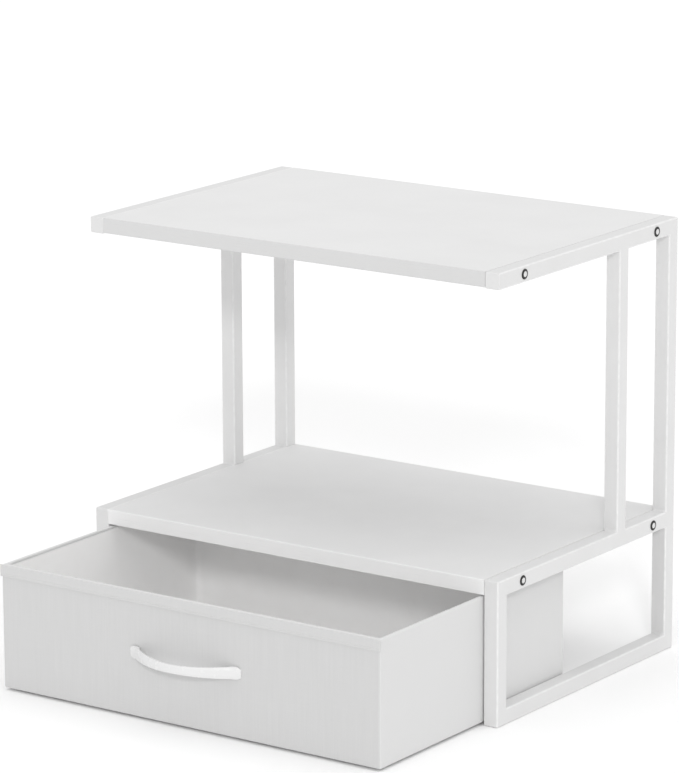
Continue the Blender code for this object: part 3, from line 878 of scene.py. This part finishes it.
def cover_slack(point):
    """How far the cover stands off its boards at a point, in millimetres."""
    x, y, z = point
    slack = 0.28 * noise.noise(Vector((x * 13, y * 13, z * 22)))
    slack += 0.10 * noise.noise(Vector((x * 60, y * 60, z * 40 + 7)))
    if min(abs(y - cover_low.y), abs(y - cover_high.y)) < 4 * MM:
        slack *= min(1.0, (cover_high.x - abs(x)) / (20 * MM))
    return slack + 0.12


def lining_slack(point):
    """How far the lining stands off its boards at a point, in millimetres."""
    x, y, z = point
    slack = 0.5 + 0.5 * noise.noise(Vector((x * 16, y * 16, z * 14)))
    slack += 0.30 * noise.noise(Vector((x * 55, y * 55, z * 30 + 3)))
    return 1.1 * max(0.0, slack)


def add_cover():
    low, high = cover_low, cover_high
    levels = bottom_levels(low, high, 0.0, COVER_BOTTOM_ROUND, COVER_CORNER)
    wall_start = len(levels)
    outer = levels[-1][0]
    wall_high = high.z - RIM_HEIGHT
    levels += wall_levels(outer, low.z + COVER_BOTTOM_ROUND, wall_high, COVER_ROWS)
    wall_end = len(levels)
    inner = rounded_loop(*inside(lining_low, lining_high, LINING_WALL + TURN_PROUD), TURN_CORNER)
    for step in range(1, RIM_STEPS + 1):
        turn = math.pi * step / RIM_STEPS
        share = (1 - math.cos(turn)) / 2
        levels.append((outer * (1 - share) + inner * share, wall_high + RIM_HEIGHT * math.sin(turn)))
    levels += wall_levels(inner, wall_high, high.z - TURN_IN, TURN_ROWS)
    vertices, faces, starts = cloth_shell(levels, flip=False)
    piece = add_piece("drawer_cover_sewn", vertices, faces, [SIDE_LOOK, FRONT_SHADED_CLOTH], "drawer",
                      "drawer_fabric", "drawer_cover", sharp=180)
    # Faces that look to the front take the darker copy of the cloth: painted shade by the way they
    # face
    for face in piece.data.polygons:
        if face.normal.y < -0.8:
            face.material_index = 1
    amounts = np.zeros(len(vertices))
    sink = seam_depths()
    for level in range(wall_start, wall_end):
        share = (level - wall_start) / (wall_end - wall_start)
        window = min(1.0, 6 * share, 6 * (1 - share))
        row = slice(starts[level], starts[level] + len(sink))
        slack = np.array([cover_slack(point) for point in vertices[row]])
        amounts[row] = slack * window * MM - sink * min(1.0, 8 * (1 - share))
    make_sheet(piece, amounts, COVER_CLOTH)


def add_lining():
    low, high = lining_low, lining_high
    top = high.z - LINING_DROP
    levels = bottom_levels(low, high, LINING_WALL, LINING_ROUND, LINING_CORNER)
    levels += wall_levels(*levels[-1], top, LINING_ROWS)
    vertices, faces, _ = cloth_shell(levels, flip=True)
    piece = add_piece("drawer_lining_sewn", vertices, faces, [LINING_LOOK], "drawer",
                      "drawer_fabric", "drawer_lining", sharp=180)
    amounts = [lining_slack(point) * MM * min(1.0, max(0.0, (top - 3 * MM - point[2]) / (25 * MM)))
               for point in vertices]
    make_sheet(piece, amounts, LINING_CLOTH)


HEM_PITCH = 0.8 * MM
HEM_STEP = 0.45 * MM
HEM_RADII = [0.2 * MM, 0.5 * MM, 0.5 * MM, 0.2 * MM]
STITCH_PITCH = 3.2 * MM
STITCH_LINE = 2.2 * MM
STITCH_RADIUS = 0.21 * MM
STITCH_SIDES = 7
HEM_MARGIN = 2 * MM
RIM_MARGIN = 3 * MM


def add_hem():
    """The folded band along the front's top edge, pressed in along its row of stitches."""
    low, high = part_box("drawer_front_hem")
    thickness = COVER_FACE - low.y
    tall = high.z - low.z
    section = fill_outline(rounded_outline((-thickness, 0.0), (0.0, tall), HEM_RADII, 4))
    count = int((high.x - low.x) / HEM_PITCH)
    rings = []
    for row in range(count + 1):
        x = low.x + (high.x - low.x) * row / count
        from_end = min(row, count - row) * HEM_PITCH
        tight = min(1.0, 0.55 + 0.45 * math.sqrt(min(from_end / (0.8 * MM), 1.0)))
        puckers = 0.5 + 0.5 * math.cos(2 * math.pi * x / STITCH_PITCH)
        sag = 0.10 * MM * noise.noise(Vector((x * 18, 5.0, 0.0)))
        ring = []
        for out, height in section:
            wave = 0.07 * MM * noise.noise(Vector((x * 40, height * 90, 2.0)))
            press = (0.16 + 0.10 * puckers) * MM
            press *= math.exp(-((height - STITCH_LINE) / (0.55 * MM)) ** 2)
            depth = -out * (tight + (wave - press) / thickness)
            ring.append((x, COVER_FACE - depth, low.z + height + sag * (1 - height / tall)))
        rings.append(ring)
    piece = add_solid("drawer_front_hem_folded", *loft(rings), [HEM_SHADED_CLOTH], "drawer",
                      "drawer_fabric", "drawer_front_hem", sharp=70)
    cloth_coordinates(piece.data)


def fill_outline(outline):
    """The same outline with its long straight stretches cut into short steps."""
    points = []
    for here, after in zip(outline, outline[1:] + outline[:1]):
        parts = max(1, round(math.dist(here, after) / HEM_STEP))
        for part in range(parts):
            share = part / parts
            points.append((here[0] + (after[0] - here[0]) * share,
                           here[1] + (after[1] - here[1]) * share))
    return points


def stitch(centre, along, outward, half):
    """One stitch: a short, slightly arched thread that dips into the cloth at both ends."""
    aside = outward.cross(along)
    rings = []
    for row in range(7):
        share = row / 3 - 1
        radius = STITCH_RADIUS * math.sqrt(max(1 - (0.97 * share) ** 4, 0.02))
        middle = centre + along * (half * share) + outward * (0.10 * MM - 0.26 * MM * share ** 2)
        rings.append([middle + (outward * math.cos(angle) + aside * math.sin(angle)) * radius
                      for angle in circle(STITCH_SIDES)])
    return loft(rings)


def add_stitches(name, rows, margin):
    """Rows of stitches that keep clear of their ends: each row is (start, end, outward)."""
    stitches = []
    for start, end, outward in rows:
        along = (end - start).normalized()
        count = int(((end - start).length - 2 * margin) / STITCH_PITCH)
        for number in range(count):
            centre = start + along * (margin + STITCH_PITCH * (number + 0.5))
            wander = outward.cross(along) * 0.08 * MM * math.sin(number * 2.4)
            stitches.append(stitch(centre + wander, along, outward, STITCH_PITCH * 0.39))
    add_solid(name, *joined(stitches), [THREAD], "drawer", "drawer_fabric", sharp=80)


def add_stitching():
    low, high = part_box("drawer_front_hem")
    face_y = low.y + 0.16 * MM
    height = low.z + STITCH_LINE
    hem = [(Vector((low.x, face_y, height)), Vector((high.x, face_y, height)), Vector((0, -1, 0)))]
    add_stitches("drawer_hem_stitching", hem, HEM_MARGIN)
    x0, x1, y0, y1 = inside(lining_low, lining_high, LINING_WALL + TURN_PROUD)
    height = cover_high.z - TURN_IN + 1.8 * MM
    corners = [Vector((x, y, height)) for x, y in ((x0, y0), (x1, y0), (x1, y1), (x0, y1))]
    rim = [(start, end, Vector((0, 0, 1)).cross(end - start).normalized())
           for start, end in zip(corners, corners[1:] + corners[:1])]
    add_stitches("drawer_rim_stitching", rim, RIM_MARGIN)


# ---------------------------------------- handle and drawer hardware

# The bow's outer and inner curves, in millimetres: half length, height at the toe and in the
# middle, and the two powers of its shape
HANDLE_OUTER = (61.4, 1.9, 25.3, (2.2, 1.4))
HANDLE_INNER = (50.0, 0.0, 21.6, (1.6, 0.65))
HANDLE_TOE_ROUND = 1.1
HANDLE_TOE_STEPS = 6
HANDLE_WIDTHS = (7.9, 12.5)  # in the middle and at the feet
HANDLE_FLARE = 1.6
HANDLE_TIP_START = 0.92
HANDLE_TIP_TAPER = 0.36
HANDLE_STATIONS = 90
HANDLE_SAMPLES = 200
HANDLE_SECTION = 36
SECTION_POWER = 0.62
SECTION_CROWN = 0.16


def bow(half, toe, reach, powers, share):
    """A point of the handle's bow in millimetres; share runs from 1 at a foot to 0 in the middle."""
    height = max(1 - share ** powers[0], 0.0) ** powers[1]
    return half * share, toe + (reach - toe) * height


def even_steps(path):
    """The path's points moved to even distances along it."""
    path = np.array(path)
    along = np.concatenate([[0.0], np.cumsum(np.hypot(*np.diff(path, axis=0).T))])
    wanted = np.linspace(0.0, along[-1], HANDLE_STATIONS)
    return np.column_stack([np.interp(wanted, along, path[:, axis]) for axis in (0, 1)])


def mirrored(half_path):
    """The path to the middle, and on from there to the other foot."""
    return np.concatenate([half_path, (half_path * [-1, 1])[-2::-1]])


def handle_stations():
    """Matching points of the outer and the inner face, from the right toe to the left one."""
    half, toe = HANDLE_OUTER[0], HANDLE_OUTER[1]
    outer = [(half - 0.25, 0.0), (half - 0.05, 0.25)]
    for turn in quarter(HANDLE_TOE_STEPS)[::-1]:
        outer.append((half - HANDLE_TOE_ROUND * (1 - math.sin(turn)),
                      toe - HANDLE_TOE_ROUND * (1 - math.cos(turn))))
    reach_x = outer[-1][0]
    inner = [(half - 0.5, 0.0)]
    for turn in quarter(HANDLE_SAMPLES):
        share = math.cos(turn)
        point = bow(*HANDLE_OUTER, share)
        if point[0] < reach_x - 0.1:
            outer.append(point)
        inner.append(bow(*HANDLE_INNER, share))
    return mirrored(even_steps(outer)), mirrored(even_steps(inner))


def rounder(value):
    """A sine or cosine moved towards a square section's."""
    return math.copysign(abs(value) ** SECTION_POWER, value)


def add_handle():
    low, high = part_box("drawer_handle")
    centre_z = (low.z + high.z) / 2
    rings = []
    for outer, inner in zip(*handle_stations()):
        share = abs(outer[0]) / HANDLE_OUTER[0]
        width = HANDLE_WIDTHS[0] + (HANDLE_WIDTHS[1] - HANDLE_WIDTHS[0]) * share ** HANDLE_FLARE
        tip = max(0.0, (share - HANDLE_TIP_START) / (1 - HANDLE_TIP_START))
        width *= 1 - HANDLE_TIP_TAPER * tip ** 2.2
        ring = []
        for angle in circle(HANDLE_SECTION):
            height, thick = rounder(math.cos(angle)), rounder(math.sin(angle))
            crown = 1 - SECTION_CROWN * height ** 2 if thick > 0 else 1.0
            x, out = inner + (outer - inner) * (0.5 + 0.5 * thick * crown)
            ring.append((x * MM, COVER_FACE - out * MM, centre_z + height * width / 2 * MM))
        rings.append(ring)
    add_solid("drawer_handle_moulded", *loft(rings), [PLASTIC], "drawer", "handle_plastic",
              "drawer_handle", sharp=60)


SCREW_SIDES = 64
SCREW_CORE = 1.6 * MM
SCREW_HEAD = [(3.30, 0.00), (3.55, 0.25), (3.60, 0.70), (3.40, 1.25), (2.95, 1.75)]
SCREW_TOP = 2.45 * MM
SCREW_DOME = 0.7 * MM
RECESS_ARM = 0.50 * MM
RECESS_REACH = 1.75 * MM
RECESS_DEPTH = 1.5 * MM
WASHER_BORE = 2.0 * MM
WASHER_ARRIS = 0.15 * MM


def screw_top(radius, angle):
    """Height of the head's domed top at a point, with its cross recess."""
    dome = SCREW_TOP - SCREW_DOME * (radius / (SCREW_HEAD[-1][0] * MM)) ** 2
    narrow = radius * min(abs(math.cos(angle)), abs(math.sin(angle)))
    arm = min(max((RECESS_ARM - narrow) / (0.12 * MM), 0.0), 1.0)
    within = min(max((RECESS_REACH - radius) / (0.25 * MM), 0.0), 1.0)
    return dome - RECESS_DEPTH * arm * within * (1 - 0.35 * radius / RECESS_REACH)


def add_screw(name):
    low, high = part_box(name)
    seat = (low + high) / 2
    seat.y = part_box(name.replace("screw", "washer"))[1].y
    length = seat.y - low.y
    profile = [(SCREW_CORE * 0.4, -length), (SCREW_CORE, -length + SCREW_CORE),
               (SCREW_CORE, -0.05 * MM)]
    rings = lathe_rings(profile + in_metres(SCREW_HEAD), SCREW_SIDES)
    for radius in np.linspace(2.7 * MM, 0.08 * MM, 24):
        rings.append([(radius * math.cos(angle), radius * math.sin(angle), screw_top(radius, angle))
                      for angle in circle(SCREW_SIDES)])
    vertices, faces = loft(rings)
    add_solid(f"{name}_finished", placed(vertices, seat, (0, 1, 0)), faces, [ZINC],
              "drawer", "plated_steel", name)


def add_washer(name):
    low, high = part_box(name)
    outer = (high.x - low.x) / 2
    height = high.y - low.y
    profile = [(WASHER_BORE, WASHER_ARRIS), (WASHER_BORE + WASHER_ARRIS, 0.0),
               (outer - WASHER_ARRIS, 0.0), (outer, WASHER_ARRIS)]
    profile += [(radius, height - level) for radius, level in profile[::-1]]
    vertices, faces = loft(lathe_rings(profile, BOLT_SIDES), closed=True)
    seat = (low + high) / 2
    seat.y = low.y
    add_solid(f"{name}_finished", placed(vertices, seat, (0, 1, 0)), faces, [ZINC],
              "drawer", "plated_steel", name)


def add_glide(name):
    """A felt disc with a soft, ragged edge."""
    low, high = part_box(name)
    radius = (high.x - low.x) / 2
    height = cover_low.z - low.z + 0.1 * MM
    centre = (low + high) / 2
    centre.z = low.z
    profile = [(radius * 0.5, 0.05 * MM), (radius * 0.9, 0.0), (radius * 0.985, height * 0.2),
               (radius, height * 0.5), (radius * 0.985, height * 0.8), (radius * 0.96, height)]

    def ragged(reach, angle, row):
        spot = Vector((math.cos(angle) * 9, math.sin(angle) * 9, row * 1.7 + low.x * 50))
        return reach * (1 + 0.012 * noise.noise(spot))

    vertices, faces = loft(lathe_rings(profile, 96, ragged))
    add_solid(f"{name}_felted", [Vector(v) + centre for v in vertices], faces, [FELT],
              "drawer", "glide_felt", name)


# ---------------------------------------- CAD nodes that stay

def finish_cad_nodes():
    """The pieces that stay hidden inside keep their CAD mesh and get finished materials."""
    for name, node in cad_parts.items():
        if node.hide_render:
            continue
        material = ZINC if name.endswith("_insert") else CARD
        if name == "drawer_front_board":
            material = FIBREBOARD
        for spot in node.material_slots:
            spot.material = material


# ---------------------------------------- the scene

COAT = powder_coat()
LAMINATE = laminate()
# One edge banding in two tones: the top shelf's is darker than the laminate, painted shade on its
# front edge, and the middle shelf's is lighter, painted light that makes up for the shade under the
# top shelf
BANDING = {
    "top": banding("white_edge_banding", 0.650, 0.674),
    "middle": banding("bright_edge_banding", 0.850, 0.870),
}
BLACK_NICKEL = black_nickel()
SOCKET_HIGHLIGHT = socket_painted_highlight()
ZINC = zinc_plate()
# The cover's cloth in copies: the front-facing one and the hem are darker than the rest, painted shade
# on the drawer's front; the hem is a little paler than the front
FRONT_SHADED_CLOTH = woven_cloth("front_cloth_painted_shade", 0.658, 0.628, 0.62 * MM)
SIDE_LOOK = woven_cloth("woven_side_cloth", 0.730, 0.718, 0.62 * MM)
HEM_SHADED_CLOTH = woven_cloth("hem_cloth_painted_shade", 0.668, 0.645, 0.55 * MM)
LINING_LOOK = spunbond()
THREAD = sewing_thread()
CARD = stiffener_card()
FIBREBOARD = fibreboard()
PLASTIC = moulded_plastic()
FELT = felt()

add_camera()
add_lights()
add_floor()
for label, side in SIDES.items():
    add_side_frame(label, side)
    for level in ("top", "middle"):
        for end in ("front", "rear"):
            add_bolt(f"{label}_{level}_{end}_bolt", side)
for level in ("top", "middle"):
    add_shelf(level)
add_cover()
add_lining()
add_hem()
add_stitching()
add_handle()
for label in SIDES:
    add_screw(f"drawer_handle_{label}_screw")
    add_washer(f"drawer_handle_{label}_washer")
    for end in ("front", "rear"):
        add_glide(f"drawer_{end}_{label}_glide")
finish_cad_nodes()
